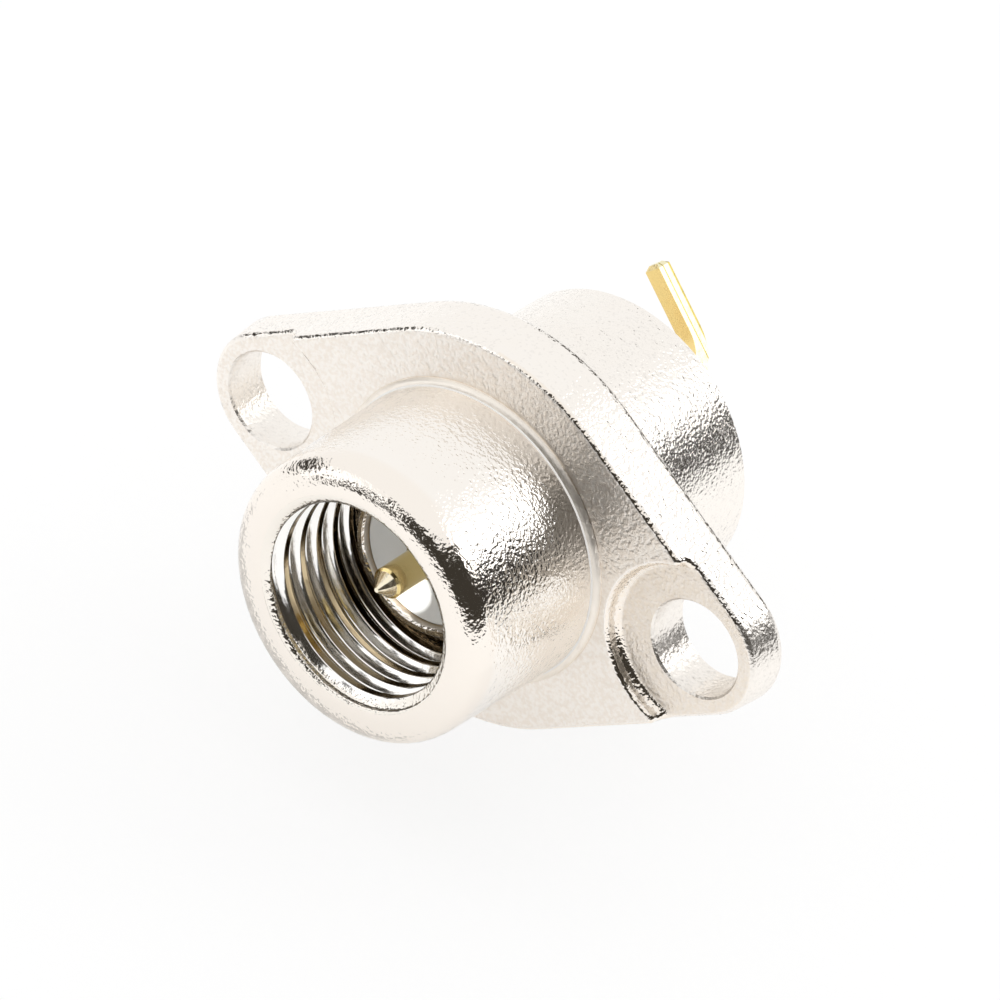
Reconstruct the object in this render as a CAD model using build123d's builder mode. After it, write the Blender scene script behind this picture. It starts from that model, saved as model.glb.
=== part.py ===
from build123d import *
import math
import os

os.makedirs("parts", exist_ok=True)

# A two-hole flange-mount coaxial plug: one nickel-plated casting with an internally
# threaded barrel, a white insulator pressed in from behind, and a gold-plated centre
# contact whose tail is bent square to the axis behind the casting.
#
# Frame: the axis is Y and the threaded mouth faces -Y. The flange lies in XZ with its
# two screw holes along X. The origin is on the axis in the mounting face, the flange's
# back, which lies in the plane Y = 0. All sizes are millimetres and degrees.

# Flange
flange_thickness = 1.8
flange_margin = 1.77
lobe_radius = 2.1
screw_hole_radius = 1.45
screw_hole_chamfer = 0.06
flange_draft = 5.0
flange_edge_round = 0.15
flange_back_round = 0.27

# Flat seats for the screw heads, sunk in the flange's front face
seat_overhang = 0.55
seat_depth = 0.45
seat_floor_fillet = 0.25
seat_clearance = 0.27

# Front barrel: its wall is measured at the mouth, outside the thread, and its draft widens it
# toward the flange
barrel_length = 5.05
barrel_wall = 1.08
barrel_flare = 0.1
rim_width = 0.38
rim_depth = 0.6
barrel_root_fillet = 0.2

# Threaded socket, bored at the thread's largest diameter, with a thin collar standing on
# its floor round the insulator
socket_radius = 3.2
socket_depth = 3.85
mouth_chamfer = 0.05
collar_wall = 0.25
collar_length = 0.9
collar_edge_break = 0.05

# Rear boss, which narrows toward its end
boss_length = 4.95
boss_root_radius = 4.45
boss_flare = 0.08
boss_root_fillet = 0.2
boss_end_chamfer = 0.15

# Insulator: a nose seen in the socket and a wider body stopped by a step in the bore
insulator_nose_radius = 2.05
insulator_shoulder = 0.35
insulator_recess = 0.2
insulator_edge_break = 0.08
insulator_step = -0.5
press_clearance = 0.01

# Centre contact
pin_radius = 0.46
pin_reach = 2.15
pin_cone_length = 0.42
pin_cone_radius = 0.38
pin_shoulder_length = 0.06
pin_tip_radius = 0.07
shank_radius = 0.635
shank_proud = 0.06
shank_rear_recess = 0.15
barb_radius = 0.78
barb_width = 0.35
barb_place = 3.86

# Bent tail behind the boss: a flat bar, wider than it is thick
tail_width = 0.57
tail_thickness = 0.46
tail_run = 3.98
tail_height = 3.5
tail_bend_radius = 1.4
tail_lean = 43.4
tail_end_taper = 0.12

# Places along the axis, worked out from the sizes
flange_front = -flange_thickness
mouth = flange_front - barrel_length
socket_floor = mouth + socket_depth
collar_front = socket_floor - collar_length
insulator_front = collar_front + insulator_recess
boss_end = boss_length
shank_front = insulator_front - shank_proud

# The barrel's wall stands round the thread, and the boss narrows from its root
barrel_nose_radius = socket_radius + barrel_wall
barrel_base_radius = barrel_nose_radius + barrel_flare
rim_face_radius = barrel_nose_radius - rim_width
boss_end_radius = boss_root_radius - boss_flare

# The collar and the insulator's body are both sized from the insulator's nose
collar_radius = insulator_nose_radius + collar_wall
insulator_body_radius = insulator_nose_radius + insulator_shoulder

# The flange stands out round the barrel, and the seats run out over the lobes' outline. The
# seats clear the fillet at the barrel's root, which sets how far out the screws are
flange_centre_radius = barrel_base_radius + flange_margin
seat_radius = lobe_radius + seat_overhang
screw_offset = barrel_base_radius + barrel_root_fillet + seat_clearance + seat_radius
screw_places = [(-screw_offset, 0), (screw_offset, 0)]

# Faces and edges are picked by their place along the axis, within this much
pick_tolerance = 0.001


def placed_at(shapes, place):
    """The faces or edges of a list whose centres lie at one place along the axis."""
    return shapes.filter_by_position(Axis.Y, place - pick_tolerance, place + pick_tolerance)


# Body: the casting, turned about the axis, with the flange across it
with BuildPart() as body:
    with BuildSketch(Plane.XY):
        with BuildLine():
            rim_centre = (rim_face_radius, mouth + rim_depth)
            Line((0, mouth), (rim_face_radius, mouth))
            rim = EllipticalCenterArc(rim_centre, rim_width, rim_depth, start_angle=270, arc_size=90)
            side = Line(rim @ 1, (barrel_base_radius, flange_front - barrel_root_fillet))
            front_root = RadiusArc(
                side @ 1, (barrel_base_radius + barrel_root_fillet, flange_front), -barrel_root_fillet
            )
            web = Line(front_root @ 1, (boss_root_radius + boss_root_fillet, 0))
            back_root = RadiusArc(web @ 1, (boss_root_radius, boss_root_fillet), -boss_root_fillet)
            boss_side = Line(back_root @ 1, (boss_end_radius, boss_end - boss_end_chamfer))
            boss_edge = Line(boss_side @ 1, (boss_end_radius - boss_end_chamfer, boss_end))
            Polyline(boss_edge @ 1, (0, boss_end), (0, mouth))
        make_face()
    revolve(axis=Axis.Y)

    # Rhombic flange, narrower toward its front by the casting's draft
    with BuildSketch(Plane.XZ):
        Circle(flange_centre_radius)
        with Locations(*screw_places):
            Circle(lobe_radius)
        make_hull()
    extrude(amount=flange_thickness, taper=flange_draft)

    # Screw-head seats and screw holes
    with BuildSketch(Plane.XZ.offset(flange_thickness)):
        with Locations(*screw_places):
            Circle(seat_radius)
    extrude(amount=-seat_depth, mode=Mode.SUBTRACT)
    with BuildSketch(Plane.XZ):
        with Locations(*screw_places):
            Circle(screw_hole_radius)
    extrude(amount=flange_thickness, mode=Mode.SUBTRACT)

    # Threaded socket, the collar on its floor and the stepped bore that holds the insulator
    with BuildSketch(Plane.XY):
        with BuildLine():
            nose_bore = insulator_nose_radius + press_clearance
            body_bore = insulator_body_radius + press_clearance
            Polyline(
                (0, mouth),
                (socket_radius + mouth_chamfer, mouth),
                (socket_radius, mouth + mouth_chamfer),
                (socket_radius, socket_floor),
                (collar_radius, socket_floor),
                (collar_radius, collar_front + collar_edge_break),
                (collar_radius - collar_edge_break, collar_front),
                (nose_bore + collar_edge_break, collar_front),
                (nose_bore, collar_front + collar_edge_break),
                (nose_bore, insulator_step),
                (body_bore, insulator_step),
                (body_bore, boss_end),
                (0, boss_end),
                close=True,
            )
        make_face()
    revolve(axis=Axis.Y, mode=Mode.SUBTRACT)

    # Rounded floor of each seat, bevelled mouth of each screw hole, the edge round that runs
    # along the whole front, and the larger round along the back
    seat_floor = flange_front + seat_depth
    seat_circles = placed_at(body.edges().filter_by(GeomType.CIRCLE), seat_floor)
    middle_radius = (screw_hole_radius + seat_radius) / 2
    fillet(seat_circles.filter_by(lambda e: e.radius > middle_radius), seat_floor_fillet)
    hole_mouths = placed_at(body.edges().filter_by(GeomType.CIRCLE), seat_floor)
    chamfer(hole_mouths.filter_by(lambda e: e.radius < middle_radius), screw_hole_chamfer)
    front_faces = placed_at(body.faces().filter_by(Axis.Y), flange_front)
    floor_faces = placed_at(body.faces().filter_by(Axis.Y), seat_floor)
    front_edges = front_faces[0].outer_wire().edges()
    for floor_face in floor_faces:
        front_edges += floor_face.outer_wire().edges().filter_by(GeomType.CIRCLE, reverse=True)
    fillet(front_edges, flange_edge_round)
    back_faces = placed_at(body.faces().filter_by(Axis.Y), 0)
    fillet(back_faces[0].outer_wire().edges(), flange_back_round)
body.part.label = "body"

# Insulator: one turned piece, stopped by the step in the body's bore
with BuildPart() as insulator:
    with BuildSketch(Plane.XY):
        with BuildLine():
            shank_bore = shank_radius + press_clearance
            barb_bore = barb_radius + press_clearance
            barb_front = shank_front + barb_place
            barb_rear = barb_front + barb_width
            Polyline(
                (shank_bore, insulator_front),
                (insulator_nose_radius - insulator_edge_break, insulator_front),
                (insulator_nose_radius, insulator_front + insulator_edge_break),
                (insulator_nose_radius, insulator_step),
                (insulator_body_radius, insulator_step),
                (insulator_body_radius, boss_end),
                (shank_bore, boss_end),
                (shank_bore, barb_rear),
                (barb_bore, barb_rear),
                (shank_bore, barb_front),
                close=True,
            )
        make_face()
    revolve(axis=Axis.Y)
insulator.part.label = "insulator"

# Centre contact: mating pin, barbed shank and bent tail in one piece
with BuildPart() as centre_contact:
    pin_tip = insulator_front - pin_reach
    cone_end = pin_tip + pin_cone_length
    shank_rear = boss_end - shank_rear_recess
    with BuildSketch(Plane.XY):
        with BuildLine():
            Polyline(
                (0, pin_tip),
                (pin_tip_radius, pin_tip),
                (pin_cone_radius, cone_end),
                (pin_radius, cone_end + pin_shoulder_length),
                (pin_radius, shank_front),
                (shank_radius, shank_front),
                (shank_radius, barb_front),
                (barb_radius, barb_rear),
                (shank_radius, barb_rear),
                (shank_radius, shank_rear),
                (0, shank_rear),
                close=True,
            )
        make_face()
    revolve(axis=Axis.Y)

    # The tail's own plane holds the axis and leans from +Z toward -X
    lean = math.radians(tail_lean)
    tail_up = Vector(-math.sin(lean), 0, math.cos(lean))
    tail_plane = Plane(origin=(0, 0, 0), x_dir=(0, 1, 0), z_dir=Vector(0, 1, 0).cross(tail_up))
    corner = boss_end + tail_run
    taper_start = tail_height - tail_end_taper
    with BuildLine(tail_plane) as tail_path:
        FilletPolyline((shank_rear, 0), (corner, 0), (corner, taper_start), radius=tail_bend_radius)
    with BuildSketch(Plane(origin=(0, shank_rear, 0), x_dir=tail_plane.z_dir, z_dir=(0, 1, 0))):
        Rectangle(tail_width, tail_thickness)
    sweep(path=tail_path.line)

    # Its tip narrows on all four sides
    tip_plane = Plane(origin=tail_path.line @ 1, x_dir=tail_plane.z_dir, z_dir=tail_up)
    with BuildSketch(tip_plane):
        Rectangle(tail_width, tail_thickness)
    with BuildSketch(tip_plane.offset(tail_end_taper)):
        tip_width = tail_width - 2 * tail_end_taper
        tip_thickness = tail_thickness - 2 * tail_end_taper
        Rectangle(tip_width, tip_thickness)
    loft()
centre_contact.part.label = "centre_contact"

for piece in (body, insulator, centre_contact):
    export_step(piece.part, f"parts/{piece.part.label}.step")
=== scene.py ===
import math

import bmesh
import bpy
from mathutils import Matrix, Vector


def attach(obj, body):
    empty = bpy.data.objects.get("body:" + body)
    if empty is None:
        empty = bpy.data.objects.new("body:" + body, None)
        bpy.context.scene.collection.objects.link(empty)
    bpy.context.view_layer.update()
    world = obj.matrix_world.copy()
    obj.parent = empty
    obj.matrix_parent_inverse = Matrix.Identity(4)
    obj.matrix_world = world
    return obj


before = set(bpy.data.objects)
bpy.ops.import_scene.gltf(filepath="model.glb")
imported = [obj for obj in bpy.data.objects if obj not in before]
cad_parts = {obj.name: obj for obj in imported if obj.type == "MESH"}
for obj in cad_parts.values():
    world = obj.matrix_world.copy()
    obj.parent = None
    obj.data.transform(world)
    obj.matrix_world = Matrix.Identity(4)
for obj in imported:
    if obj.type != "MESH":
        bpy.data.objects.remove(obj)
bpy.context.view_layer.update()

# Metres throughout, in the part's own frame: the axis is Y, the threaded mouth faces -Y and
# the flange's back lies in the plane Y = 0. MM turns millimetres into metres.
MM = 0.001

# Sizes repeated from the part's source
MOUTH_Y = -6.85 * MM
SOCKET_FLOOR_Y = -3.0 * MM
FLANGE_FRONT_Y = -1.8 * MM
SEAT_FLOOR_Y = -1.35 * MM
BOSS_END_Y = 4.95 * MM
TAIL_Y = 8.93 * MM
LOWEST_Z = -6.13 * MM

# Thread: right-handed, 36 turns to the inch, with a little more than 60 degrees between its
# flanks, running out on a rounded lip
PITCH = 25.4 / 36 * MM
THREAD_ROOT = 3.19 * MM
THREAD_CREST = 2.84 * MM
THREAD_BACK = 3.27 * MM
CREST_FLAT = 0.13 * MM
FLANK_ANGLE = 32
FLANK = (THREAD_ROOT - THREAD_CREST) * math.tan(math.radians(FLANK_ANGLE))
FLANK_EASE = 0.3
CREST_Y = -5.943 * MM
RUN_OUT = 0.3 * MM
LIP_RADIUS = 0.37 * MM
LIP_CENTRE = 3.28 * MM
LIP_ROWS = 0.15 * MM
THREAD_START_Y = MOUTH_Y + 0.003 * MM
THREAD_END_Y = SOCKET_FLOOR_Y - 0.015 * MM
THREAD_COLUMNS = 300
ROWS_PER_PITCH = 28
MERGE_DISTANCE = 0.0008 * MM

# The casting's areas, each with its own finish: the round over the mouth, the collar in the socket, which
# carries painted shade, the fillet at the barrel's root and the crease in it, where a painted highlight
# line stands for the light it catches
RIM_START_Y = -5.9 * MM
RIM_FULL_Y = -6.2 * MM
COLLAR_RADII = (2.12 * MM, 3.15 * MM)
ROOT_START_Y = FLANGE_FRONT_Y - 0.24 * MM
ROOT_RADIUS = 4.57 * MM
CREASE_RADII = (4.37 * MM, 4.415 * MM)
BOLT_ROW_START = 5.5 * MM
BOLT_ROW_HALF = 1.5 * MM

# The rim's round, as bump: from the lip over the crown down to the barrel's side
CROWN_RADII = (3.3 * MM, 3.9 * MM, 4.15 * MM)
CROWN_DROP_OUTSIDE = 0.294
CROWN_DEPTH = 0.217 * MM

# How far off a wall the painted shade in hollows reaches, and the size of the faint patches in the
# plating
SHADE_REACH = 0.9 * MM
PATCH_SIZE = 0.9 * MM

# The casting's grain, the slow waves under it and the changes in its gloss
GLOSS_SIZE = 0.3 * MM
SAND_SIZE = 0.11 * MM
SAND_DEPTH = 0.027 * MM
RIM_SMOOTHING = 0.35
WAVE_SIZE = 0.5 * MM
WAVE_DEPTH = 0.02 * MM

# Shades of nickel on the casting, with painted shade and a painted highlight among them
PLATE = ((0.945, 0.895, 0.835), (0.95, 0.91, 0.86))
PIT_PLATE = (0.76, 0.73, 0.69)
RIM_PLATE = (0.935, 0.875, 0.805)
FACE_PLATE = (0.99, 0.945, 0.89)
SEAT_PLATE = (0.93, 0.85, 0.75)
# Painted shade for hollows, mixed in where ambient occlusion finds a wall close by
HOLLOW_SHADE_PLATE = (0.72, 0.60, 0.45)
ROOT_PLATE = (0.97, 0.91, 0.83)
# Painted shade: a dark brown ring on the collar deep in the socket
COLLAR_SHADE_PLATE = (0.40, 0.35, 0.28)
# Painted highlight: a near-white, non-metallic line in the root's crease
PAINTED_CREASE_HIGHLIGHT = (0.95, 0.93, 0.90)
DUST = (0.94, 0.875, 0.80)
# Dust with the same painted shade in hollows
DUST_IN_HOLLOW_SHADE = (0.62, 0.51, 0.38)

# Shades of the thread, the plastic and the gold, with painted shade and painted highlights among them
# Painted shade, dark brown on the thread's crests and roots
THREAD_SHADE = (0.46, 0.37, 0.24)
FLANK_PLATE = (0.97, 0.955, 0.93)
LIP_PLATE = (0.92, 0.87, 0.80)
PLASTIC = ((0.80, 0.80, 0.77), (0.86, 0.86, 0.84))
PIN_GOLD = ((0.80, 0.63, 0.28), (0.88, 0.70, 0.33))
# Painted highlight: the tip's cone, paler than the gold
TIP_HIGHLIGHT_GOLD = (0.97, 0.88, 0.68)
# Painted highlight on the tail's sides, and painted dark reflections in lines along them
TAIL_SIDE_HIGHLIGHT_GOLD = (0.88, 0.82, 0.55)
TAIL_DARK_REFLECTION_GOLD = (0.50, 0.40, 0.12)
TAIL_FRONT_GOLD = (0.89, 0.67, 0.27)
TIP_END_Y = -5.42 * MM

# The photograph's camera: its direction in degrees, its place and its lens
VIEW_AZIMUTH = 33.63
VIEW_ELEVATION = 36.13
VIEW_ROLL = 8.88
CAMERA_PLACE = (0.1568, -0.2363, 0.2071)
CAMERA_LENS = 462.1
SENSOR_WIDTH = 36.0

# The studio: the floor, and cards round the part, of this many faces each way
FLOOR_Z = LOWEST_Z - 1.2 * MM
FLOOR_HALF = 1.5
CARD_DISTANCE = 0.15
CARD_STEPS = 24
DARK = (0.05, 0.045, 0.04)
DARK_FRONT = (0.045, 0.04, 0.033)
BRIGHT = (1.3, 1.3, 1.3)

# Standing cards: name, azimuths, elevations and shade, with angles in degrees
CARDS = (
    ("card_front_left", (-14, 18), (-3, 36), DARK_FRONT),
    ("card_front", (18, 42), (-3, 40), DARK_FRONT),
    ("card_front_right", (42, 118), (-3, 50), DARK_FRONT),
    ("card_side", (118, 152), (-6, 20), (0.04, 0.036, 0.033)),
    ("card_rear", (162, 205), (-16, 22), (0.12, 0.11, 0.10)),
    ("card_left", (-104, -63), (3, 20), DARK),
    ("panel_left", (-60, -31), (0, 30), BRIGHT),
    ("panel_right", (-25, -15), (5, 30), BRIGHT),
    ("card_mullion", (-30, -26), (-12, 22), (0.06, 0.055, 0.05)),
    ("card_low", (-45, -14), (-3, 0), DARK),
)

# Cards that lie on the floor: name, azimuths and distances from the origin
FLOOR_CARDS = (
    ("floor_card_low", (-40, -14), (0.06, 0.15)),
    ("floor_card_front", (-14, 118), (0.07, 0.15)),
)

# A narrow lamp's target on the thread, and its cone in degrees
GLEAM_TARGET = Vector((-0.4, -3.7, -1.3)) * MM
GLEAM_CONE = 1.3


# Node helpers

def new_material(name):
    """A node material, its tree and its Principled shader."""
    material = bpy.data.materials.new(name)
    material.use_nodes = True
    return material, material.node_tree, material.node_tree.nodes["Principled BSDF"]


def place(tree):
    """The object's own coordinates, in metres."""
    return tree.nodes.new("ShaderNodeTexCoord").outputs["Object"]


def parted(tree, vector):
    """The three components of a vector."""
    node = tree.nodes.new("ShaderNodeSeparateXYZ")
    tree.links.new(vector, node.inputs["Vector"])
    return node.outputs["X"], node.outputs["Y"], node.outputs["Z"]


def facing_along(tree):
    """How squarely the surface faces along the connector's axis, from 0 to 1."""
    normal = tree.nodes.new("ShaderNodeTexCoord").outputs["Normal"]
    return maths(tree, "ABSOLUTE", parted(tree, normal)[1])


def noise(tree, vector, size, detail=2.0, stretch=None):
    """A noise pattern from 0 to 1 whose features are about `size` metres across."""
    if stretch is not None:
        mapping = tree.nodes.new("ShaderNodeMapping")
        mapping.inputs["Scale"].default_value = stretch
        tree.links.new(vector, mapping.inputs["Vector"])
        vector = mapping.outputs["Vector"]
    node = tree.nodes.new("ShaderNodeTexNoise")
    node.inputs["Scale"].default_value = 1.0 / size
    node.inputs["Detail"].default_value = detail
    node.inputs["Roughness"].default_value = 0.5
    tree.links.new(vector, node.inputs["Vector"])
    return node.outputs["Fac"]


def ranged(tree, value, source, target=(0.0, 1.0), smooth=False):
    """Maps a value from one range to another, clamped."""
    node = tree.nodes.new("ShaderNodeMapRange")
    node.interpolation_type = "SMOOTHSTEP" if smooth else "LINEAR"
    for key, number in zip(("From Min", "From Max", "To Min", "To Max"), (*source, *target)):
        node.inputs[key].default_value = number
    tree.links.new(value, node.inputs["Value"])
    return node.outputs["Result"]


def maths(tree, operation, *values):
    """A Math node on its values, each a socket or a number."""
    node = tree.nodes.new("ShaderNodeMath")
    node.operation = operation
    for socket, value in zip(node.inputs, values):
        if isinstance(value, (int, float)):
            socket.default_value = value
        else:
            tree.links.new(value, socket)
    return node.outputs["Value"]


def product(tree, *factors):
    """The product of two or more factors."""
    result = factors[0]
    for factor in factors[1:]:
        result = maths(tree, "MULTIPLY", result, factor)
    return result


def above(tree, value, limit):
    """1 where a value is greater than a limit, and 0 elsewhere."""
    return maths(tree, "GREATER_THAN", value, limit)


def below(tree, value, limit):
    """1 where a value is less than a limit, and 0 elsewhere."""
    return maths(tree, "LESS_THAN", value, limit)


def between(tree, value, low, high):
    """1 where a value lies between two limits, and 0 elsewhere."""
    return product(tree, above(tree, value, low), below(tree, value, high))


def inverse(tree, value):
    """A factor turned round, so that 1 becomes 0."""
    return maths(tree, "SUBTRACT", 1.0, value)


def mixed(tree, factor, colour_a, colour_b):
    """A colour between two, each a socket or a tuple."""
    node = tree.nodes.new("ShaderNodeMix")
    node.data_type = "RGBA"
    tree.links.new(factor, node.inputs["Factor"])
    # The colour sockets share their names with those for other data, so they go by number
    for socket, value in ((node.inputs[6], colour_a), (node.inputs[7], colour_b)):
        if isinstance(value, tuple):
            socket.default_value = (*value, 1.0)
        else:
            tree.links.new(value, socket)
    return node.outputs[2]


def bumped(tree, shader, height, distance, strength=None, after=None):
    """Adds a bump of `distance` metres to the shader's normal."""
    node = tree.nodes.new("ShaderNodeBump")
    node.inputs["Distance"].default_value = distance
    node.inputs["Strength"].default_value = 1.0
    if strength is not None:
        tree.links.new(strength, node.inputs["Strength"])
    tree.links.new(height, node.inputs["Height"])
    if after is not None:
        tree.links.new(after, node.inputs["Normal"])
    tree.links.new(node.outputs["Normal"], shader.inputs["Normal"])
    return node.outputs["Normal"]


# The casting's material

def casting_areas(tree, x, y, z, off_axis):
    """Where each of the casting's finishes lies, as factors from 0 to 1."""
    along = facing_along(tree)
    on_front = ranged(tree, y, (FLANGE_FRONT_Y - 0.03 * MM, FLANGE_FRONT_Y - 0.01 * MM))
    seat_depth = between(tree, y, FLANGE_FRONT_Y + 0.02 * MM, SEAT_FLOOR_Y + 0.01 * MM)
    in_socket = below(tree, y, SOCKET_FLOOR_Y + 0.1 * MM)
    root = product(tree, between(tree, y, ROOT_START_Y, FLANGE_FRONT_Y - 0.002 * MM),
                   below(tree, off_axis, ROOT_RADIUS))
    in_bolt_row = below(tree, maths(tree, "ABSOLUTE", z), BOLT_ROW_HALF)
    return {
        "rim": ranged(tree, y, (RIM_START_Y, RIM_FULL_Y), smooth=True),
        # The collar deep in the socket, which carries painted shade
        "collar": product(tree, between(tree, off_axis, *COLLAR_RADII), in_socket),
        "face": product(tree, on_front, ranged(tree, along, (0.9, 0.98))),
        "seat": product(tree, seat_depth, ranged(tree, along, (0.3, 0.6)), above(tree, x, 0.0)),
        "root": root,
        # A thin ring in the fillet, which carries a painted highlight
        "crease": product(tree, root, between(tree, off_axis, *CREASE_RADII)),
        "bolt_hole": product(tree, above(tree, off_axis, BOLT_ROW_START),
                             above(tree, y, SEAT_FLOOR_Y), in_bolt_row),
    }


def casting_colour(tree, shader, where, y, sand, areas):
    """Pale nickel, browner in hollows as painted shade, with a dark ring of painted shade deep in the
    socket and a painted highlight line in the root's fillet, dusty on the flange's face and pitted behind
    it.
    """
    # Painted shade: ambient occlusion darkens the colour near walls, in hollows and at the barrel's root
    hollow = tree.nodes.new("ShaderNodeAmbientOcclusion")
    hollow.inputs["Distance"].default_value = SHADE_REACH
    unshaded = ranged(tree, hollow.outputs["AO"], (0.25, 0.72), smooth=True)
    behind_face = above(tree, y, FLANGE_FRONT_Y - 0.05 * MM)
    pitted = product(tree, ranged(tree, sand, (0.32, 0.42), (0.3, 0.0)), behind_face)
    dusty = product(tree, ranged(tree, sand, (0.38, 0.62)),
                    maths(tree, "MAXIMUM", areas["face"], areas["seat"]))
    plate = mixed(tree, noise(tree, where, PATCH_SIZE, detail=3.0), *PLATE)
    plate = mixed(tree, pitted, plate, PIT_PLATE)
    plate = mixed(tree, areas["rim"], plate, RIM_PLATE)
    plate = mixed(tree, areas["face"], plate, FACE_PLATE)
    plate = mixed(tree, areas["seat"], plate, SEAT_PLATE)
    colour = mixed(tree, unshaded, HOLLOW_SHADE_PLATE, plate)
    colour = mixed(tree, dusty, colour, mixed(tree, unshaded, DUST_IN_HOLLOW_SHADE, DUST))
    colour = mixed(tree, areas["root"], colour, ROOT_PLATE)
    # Painted highlight line in the root's crease
    colour = mixed(tree, areas["crease"], colour, PAINTED_CREASE_HIGHLIGHT)
    # Painted shade on the collar deep in the socket
    colour = mixed(tree, areas["collar"], colour, COLLAR_SHADE_PLATE)
    tree.links.new(colour, shader.inputs["Base Color"])
    # The crease's painted highlight line is not metal, so that it shows white
    tree.links.new(inverse(tree, areas["crease"]), shader.inputs["Metallic"])


def casting_roughness(tree, shader, where, y, areas):
    """Glossy on the barrel, softer on the boss, and matt on the flange's face and in the fillet."""
    rough = ranged(tree, noise(tree, where, GLOSS_SIZE), (0.35, 0.65), (0.09, 0.14))
    matt = maths(tree, "MAXIMUM", areas["face"], areas["root"])
    matt = maths(tree, "MAXIMUM", matt, product(tree, areas["bolt_hole"], 0.6))
    rough = maths(tree, "ADD", rough, product(tree, matt, 0.32))
    rough = maths(tree, "ADD", rough, product(tree, above(tree, y, 0.05 * MM), 0.1))
    tree.links.new(rough, shader.inputs["Roughness"])


def casting_relief(tree, shader, where, y, off_axis, sand, areas):
    """The rim's broad round, slow waves, and a sand-blasted grain that fades at the fillet."""
    # The rim's round reaches further in over the mouth than the solid's own round does
    lip, top, side = CROWN_RADII
    inner = maths(tree, "POWER", ranged(tree, off_axis, (lip, top)), 2.0)
    outer = maths(tree, "POWER", ranged(tree, off_axis, (top, side), (1.0, 0.0)), 2.0)
    crown = maths(tree, "ADD", product(tree, inverse(tree, inner), 1.0 - CROWN_DROP_OUTSIDE),
                  product(tree, outer, CROWN_DROP_OUTSIDE))
    normal = bumped(tree, shader, product(tree, crown, areas["rim"]), CROWN_DEPTH)
    normal = bumped(tree, shader, noise(tree, where, WAVE_SIZE), WAVE_DEPTH, after=normal)
    fillet = product(tree, ranged(tree, y, (-2.2 * MM, -1.98 * MM), smooth=True),
                     ranged(tree, off_axis, (4.75 * MM, ROOT_RADIUS), smooth=True),
                     below(tree, y, FLANGE_FRONT_Y + 0.01 * MM))
    grain = product(tree, inverse(tree, product(tree, areas["rim"], RIM_SMOOTHING)),
                    inverse(tree, fillet))
    bumped(tree, shader, sand, SAND_DEPTH, grain, after=normal)


def cast_nickel():
    """Nickel over a sand-blasted casting, with a matt flange face and a broadly rounded rim."""
    material, tree, shader = new_material("cast_nickel")
    where = place(tree)
    x, y, z = parted(tree, where)
    squares = maths(tree, "ADD", maths(tree, "POWER", x, 2.0), maths(tree, "POWER", z, 2.0))
    off_axis = maths(tree, "SQRT", squares)
    areas = casting_areas(tree, x, y, z, off_axis)
    sand = noise(tree, where, SAND_SIZE, detail=1.0)
    casting_colour(tree, shader, where, y, sand, areas)
    casting_roughness(tree, shader, where, y, areas)
    casting_relief(tree, shader, where, y, off_axis, sand, areas)
    return material


# The other materials

def cut_nickel():
    """Nickel over the cut thread: polished, with fine lines from the tap round the axis, and painted
    shade in dark brown on the crests and roots, which face the axis.
    """
    material, tree, shader = new_material("cut_nickel")
    where = place(tree)
    y = parted(tree, where)[1]
    lines = noise(tree, where, 0.25 * MM, detail=3.0, stretch=(0.35, 9.0, 0.35))
    # Painted shade: faces that look towards the axis, the crests and roots, are dark brown; the flanks
    # are plain nickel
    flank = ranged(tree, facing_along(tree), (0.25, 0.6), smooth=True)
    lip = ranged(tree, y, (MOUTH_Y + 0.3 * MM, MOUTH_Y + 0.4 * MM), (1.0, 0.0))
    colour = mixed(tree, lip, mixed(tree, flank, THREAD_SHADE, FLANK_PLATE), LIP_PLATE)
    tree.links.new(colour, shader.inputs["Base Color"])
    shader.inputs["Metallic"].default_value = 1.0
    tree.links.new(ranged(tree, lines, (0.3, 0.7), (0.08, 0.16)), shader.inputs["Roughness"])
    normal = bumped(tree, shader, lines, 0.0015 * MM)
    normal = bumped(tree, shader, noise(tree, where, 0.4 * MM), 0.007 * MM, after=normal)
    bumped(tree, shader, noise(tree, where, 0.1 * MM, detail=1.0), 0.028 * MM, lip, after=normal)
    return material


def white_plastic():
    """Turned white insulator with a fine matt grain."""
    material, tree, shader = new_material("white_plastic")
    where = place(tree)
    colour = mixed(tree, noise(tree, where, 0.5 * MM, detail=3.0), *PLASTIC)
    tree.links.new(colour, shader.inputs["Base Color"])
    shader.inputs["Roughness"].default_value = 0.45
    shader.inputs["Specular IOR Level"].default_value = 0.35
    bumped(tree, shader, noise(tree, where, 0.06 * MM), 0.0015 * MM)
    return material


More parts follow.
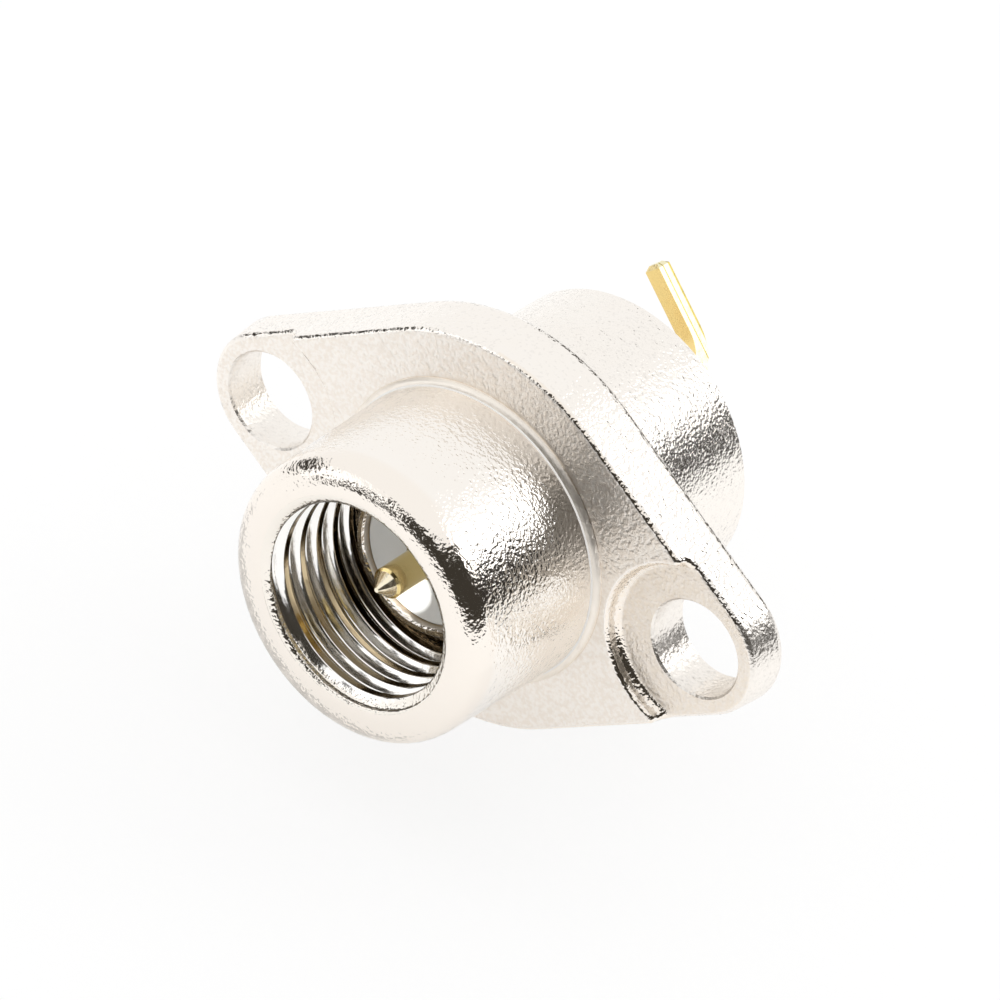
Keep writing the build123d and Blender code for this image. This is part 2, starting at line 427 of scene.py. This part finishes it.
def gold_plate():
    """Gold plate on turned brass, darker along the pin, with painted highlights that make the tip's cone
    and the tail's sides pale, and painted dark reflections in lines along the tail.
    """
    material, tree, shader = new_material("gold_plate")
    where = place(tree)
    y = parted(tree, where)[1]
    # Painted highlight on the tip's cone
    tip_highlight = ranged(tree, y, (TIP_END_Y - 0.02 * MM, TIP_END_Y), (1.0, 0.0))
    tail = ranged(tree, y, (BOSS_END_Y - 0.05 * MM, BOSS_END_Y + 0.45 * MM))
    pin = mixed(tree, noise(tree, where, 0.6 * MM, detail=3.0), *PIN_GOLD)
    # Painted dark reflections: two darker lines run along the tail's sides, one near the middle and one
    # at the rear edge, on sides painted pale as a painted highlight
    rear_edge_reflection = ranged(tree, y, (TAIL_Y + 0.14 * MM, TAIL_Y + 0.17 * MM))
    dark_reflection_line = maths(tree, "COMPARE", y, TAIL_Y - 0.05 * MM, 0.02 * MM)
    side = mixed(tree, maths(tree, "MAXIMUM", rear_edge_reflection, dark_reflection_line), TAIL_SIDE_HIGHLIGHT_GOLD, TAIL_DARK_REFLECTION_GOLD)
    # The tail's sides take a painted highlight, paler than its front and back faces
    pale = mixed(tree, facing_along(tree), side, TAIL_FRONT_GOLD)
    colour = mixed(tree, tail, mixed(tree, tip_highlight, pin, TIP_HIGHLIGHT_GOLD), pale)
    tree.links.new(colour, shader.inputs["Base Color"])
    shader.inputs["Metallic"].default_value = 1.0
    rough = ranged(tree, noise(tree, where, 0.15 * MM), (0.35, 0.65), (0.10, 0.18))
    tree.links.new(rough, shader.inputs["Roughness"])
    normal = bumped(tree, shader, noise(tree, where, 0.3 * MM), 0.006 * MM)
    bumped(tree, shader, noise(tree, where, 0.05 * MM), 0.001 * MM, after=normal)
    return material


# Mesh helpers

def linked(name, data):
    """A new object in the scene."""
    made = bpy.data.objects.new(name, data)
    bpy.context.scene.collection.objects.link(made)
    return made


def join_rows(shape, rows):
    """Faces between each row of vertices and the next."""
    for low, high in zip(rows, rows[1:]):
        for column in range(len(low) - 1):
            shape.faces.new((low[column], low[column + 1], high[column + 1], high[column]))


# The thread, on a grid whose rows follow the helix

def lip_radius(y):
    """The round over the mouth's inner edge, which the first turns of the thread run out on."""
    short = max(LIP_RADIUS - (y - MOUTH_Y), 0.0)
    return LIP_CENTRE - math.sqrt(LIP_RADIUS ** 2 - short ** 2)


def thread_radius(across, y):
    """The thread's inner radius at a place across one pitch, measured from a crest's middle."""
    climb = min(max((abs(across) - CREST_FLAT / 2) / FLANK, 0.0), 1.0)
    ease = climb * climb * (3 - 2 * climb)
    climb = (1 - FLANK_EASE) * climb + FLANK_EASE * ease
    fade = min(max((THREAD_END_Y - y) / RUN_OUT, 0.0), 1.0)
    radius = THREAD_ROOT - (THREAD_ROOT - THREAD_CREST) * (1 - climb) * fade
    return max(radius, lip_radius(y))


def thread_place(helix, part_turn):
    """A place on the thread, at a number of turns along it and a part of a turn round it."""
    depth = max(CREST_Y + (helix + part_turn) * PITCH - THREAD_START_Y, 0.0)
    # Rows close to the mouth are drawn together, so that the lip's round is smooth
    if depth < LIP_ROWS:
        depth = depth ** 2 / LIP_ROWS
    y = min(THREAD_START_Y + depth, THREAD_END_Y)
    offset = (y - CREST_Y) / PITCH - part_turn
    radius = thread_radius((offset - round(offset)) * PITCH, y)
    angle = 2 * math.pi * part_turn
    return radius * math.sin(angle), y, radius * math.cos(angle)


def build_thread():
    """A closed sleeve: its inner side is the thread, its outer side lies inside the metal."""
    mesh = bpy.data.meshes.new("thread")
    shape = bmesh.new()
    first = math.floor((THREAD_START_Y - CREST_Y) / PITCH) - 1
    turns = math.ceil((THREAD_END_Y - THREAD_START_Y) / PITCH) + 2
    rows = []
    for row in range(turns * ROWS_PER_PITCH + 1):
        helix = first + row / ROWS_PER_PITCH
        part_turns = [column / THREAD_COLUMNS for column in range(THREAD_COLUMNS + 1)]
        rows.append([shape.verts.new(thread_place(helix, part_turn)) for part_turn in part_turns])
    join_rows(shape, rows)
    bmesh.ops.remove_doubles(shape, verts=shape.verts, dist=MERGE_DISTANCE)
    bmesh.ops.dissolve_degenerate(shape, edges=shape.edges, dist=MERGE_DISTANCE)
    for y in (THREAD_START_Y, THREAD_END_Y):
        rim = [e for e in shape.edges if e.is_boundary and all(abs(v.co.y - y) < 1e-8 for v in e.verts)]
        made = bmesh.ops.extrude_edge_only(shape, edges=rim)["geom"]
        for vert in (g for g in made if isinstance(g, bmesh.types.BMVert)):
            scale = THREAD_BACK / math.hypot(vert.co.x, vert.co.z)
            vert.co.x *= scale
            vert.co.z *= scale
    loose = [e for e in shape.edges if e.is_boundary]
    bmesh.ops.bridge_loops(shape, edges=loose)
    bmesh.ops.recalc_face_normals(shape, faces=shape.faces)
    shape.to_mesh(mesh)
    shape.free()
    for polygon in mesh.polygons:
        polygon.use_smooth = True
    return linked("thread", mesh)


# Lights, cards, floor and world

def shell_point(azimuth, elevation, distance):
    """A place seen from the part's middle. Azimuth 0 is straight in front of the mouth, 90 is +X."""
    a, e = math.radians(azimuth), math.radians(elevation)
    return Vector((math.sin(a) * math.cos(e), -math.cos(a) * math.cos(e), math.sin(e))) * distance


def floor_point(azimuth, distance):
    """A place just above the floor, at a distance from the origin and an azimuth as above."""
    a = math.radians(azimuth)
    return Vector((math.sin(a) * distance, -math.cos(a) * distance, FLOOR_Z + 0.05 * MM))


def part_way(ends, share):
    """A number part of the way from one end of a range to the other."""
    return ends[0] + (ends[1] - ends[0]) * share


def stage_sheet(name, corner, shade):
    """A sheet through corner(across, up), of one plain brightness, that only reflections see."""
    mesh = bpy.data.meshes.new(name)
    shape = bmesh.new()
    shares = [step / CARD_STEPS for step in range(CARD_STEPS + 1)]
    join_rows(shape, [[shape.verts.new(corner(across, up)) for across in shares] for up in shares])
    shape.to_mesh(mesh)
    shape.free()
    sheet = linked(name, mesh)
    material, _, shader = new_material(name)
    shader.inputs["Base Color"].default_value = (0.0, 0.0, 0.0, 1.0)
    shader.inputs["Specular IOR Level"].default_value = 0.0
    shader.inputs["Emission Color"].default_value = (*shade, 1.0)
    shader.inputs["Emission Strength"].default_value = 1.0
    mesh.materials.append(material)
    sheet.visible_camera = False
    sheet.visible_diffuse = False
    sheet.visible_shadow = False


def card(name, azimuths, elevations, shade):
    """A curved card, dark or bright, that stands round the part as a photo studio's flags do."""
    def corner(across, up):
        return shell_point(part_way(azimuths, across), part_way(elevations, up), CARD_DISTANCE)

    stage_sheet(name, corner, shade)


def floor_card(name, azimuths, distances):
    """A dark sheet that lies on the floor."""
    def corner(across, up):
        return floor_point(part_way(azimuths, across), part_way(distances, up))

    stage_sheet(name, corner, DARK)


def soft_box(name, azimuth, elevation, distance, side, radiance):
    """A square, soft area lamp that faces the part, with the brightness its surface shows."""
    data = bpy.data.lights.new(name, "AREA")
    data.shape = "RECTANGLE"
    data.size = side
    data.size_y = side
    data.energy = radiance * math.pi * side * side
    lamp = linked(name, data)
    lamp.location = shell_point(azimuth, elevation, distance)
    lamp.rotation_euler = lamp.location.to_track_quat("Z", "Y").to_euler()


def spot(name, target, azimuth, elevation, distance, energy):
    """A narrow lamp that lights one small patch, as a gleam off a shiny wall does."""
    data = bpy.data.lights.new(name, "SPOT")
    data.energy = energy
    data.spot_size = math.radians(GLEAM_CONE)
    data.spot_blend = 0.1
    data.shadow_soft_size = 0.0001
    lamp = linked(name, data)
    away = shell_point(azimuth, elevation, distance)
    lamp.location = target + away
    lamp.rotation_euler = away.to_track_quat("Z", "Y").to_euler()


def build_floor():
    """A pale floor that shows as white where the part casts no shadow."""
    mesh = bpy.data.meshes.new("floor")
    corners = [(x * FLOOR_HALF, y * FLOOR_HALF, FLOOR_Z) for x, y in ((-1, -1), (1, -1), (1, 1), (-1, 1))]
    mesh.from_pydata(corners, [], [(0, 1, 2, 3)])
    floor = linked("floor", mesh)
    material, tree, shader = new_material("pale_floor")
    shader.inputs["Roughness"].default_value = 0.9
    shader.inputs["Specular IOR Level"].default_value = 0.0
    shader.inputs["Emission Color"].default_value = (1.0, 1.0, 1.0, 1.0)
    path = tree.nodes.new("ShaderNodeLightPath")
    camera_ray = path.outputs["Is Camera Ray"]
    colour = mixed(tree, camera_ray, (0.8, 0.8, 0.8), (0.25, 0.25, 0.25))
    tree.links.new(colour, shader.inputs["Base Color"])
    # Rays from the camera, a reflection or a transmission see a glow that soft light doesn't
    seen = maths(tree, "MAXIMUM", camera_ray, path.outputs["Is Glossy Ray"])
    seen = maths(tree, "MAXIMUM", seen, path.outputs["Is Transmission Ray"])
    glow = maths(tree, "ADD", product(tree, seen, 0.25), product(tree, camera_ray, 0.5))
    tree.links.new(glow, shader.inputs["Emission Strength"])
    mesh.materials.append(material)


def build_world():
    """Plain white light from all round."""
    world = bpy.data.worlds.new("studio")
    bpy.context.scene.world = world
    world.use_nodes = True
    background = world.node_tree.nodes["Background"]
    background.inputs["Color"].default_value = (1.0, 1.0, 1.0, 1.0)
    background.inputs["Strength"].default_value = 1.0


def build_camera():
    """The photograph's viewing angle, distance and roll."""
    roll = math.radians(VIEW_ROLL)
    forward = -shell_point(VIEW_AZIMUTH, VIEW_ELEVATION, 1.0)
    level_right = forward.cross(Vector((0, 0, 1))).normalized()
    level_up = level_right.cross(forward)
    right = math.cos(roll) * level_right + math.sin(roll) * level_up
    up = -math.sin(roll) * level_right + math.cos(roll) * level_up
    data = bpy.data.cameras.new("camera")
    data.sensor_width = SENSOR_WIDTH
    data.lens = CAMERA_LENS
    data.clip_start = 0.01
    data.clip_end = 10.0
    camera = linked("camera", data)
    rows = [(right[i], up[i], -forward[i], CAMERA_PLACE[i]) for i in range(3)]
    camera.matrix_world = Matrix((*rows, (0, 0, 0, 1)))
    bpy.context.scene.camera = camera


# The part

finishes = {"body": cast_nickel(), "insulator": white_plastic(), "centre_contact": gold_plate()}
for node, material in finishes.items():
    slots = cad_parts[node].data.materials
    slots.clear()
    slots.append(material)

thread = build_thread()
thread.data.materials.append(cut_nickel())
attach(thread, "root")

# The studio

build_world()
build_floor()
build_camera()
for standing in CARDS:
    card(*standing)
for lying in FLOOR_CARDS:
    floor_card(*lying)
soft_box("lamp_right", 134, 36, distance=0.2, side=0.10, radiance=0.99)
spot("gleam", GLEAM_TARGET, 25, 25, distance=0.06, energy=0.24)

bpy.context.scene.view_settings.view_transform = "Standard"
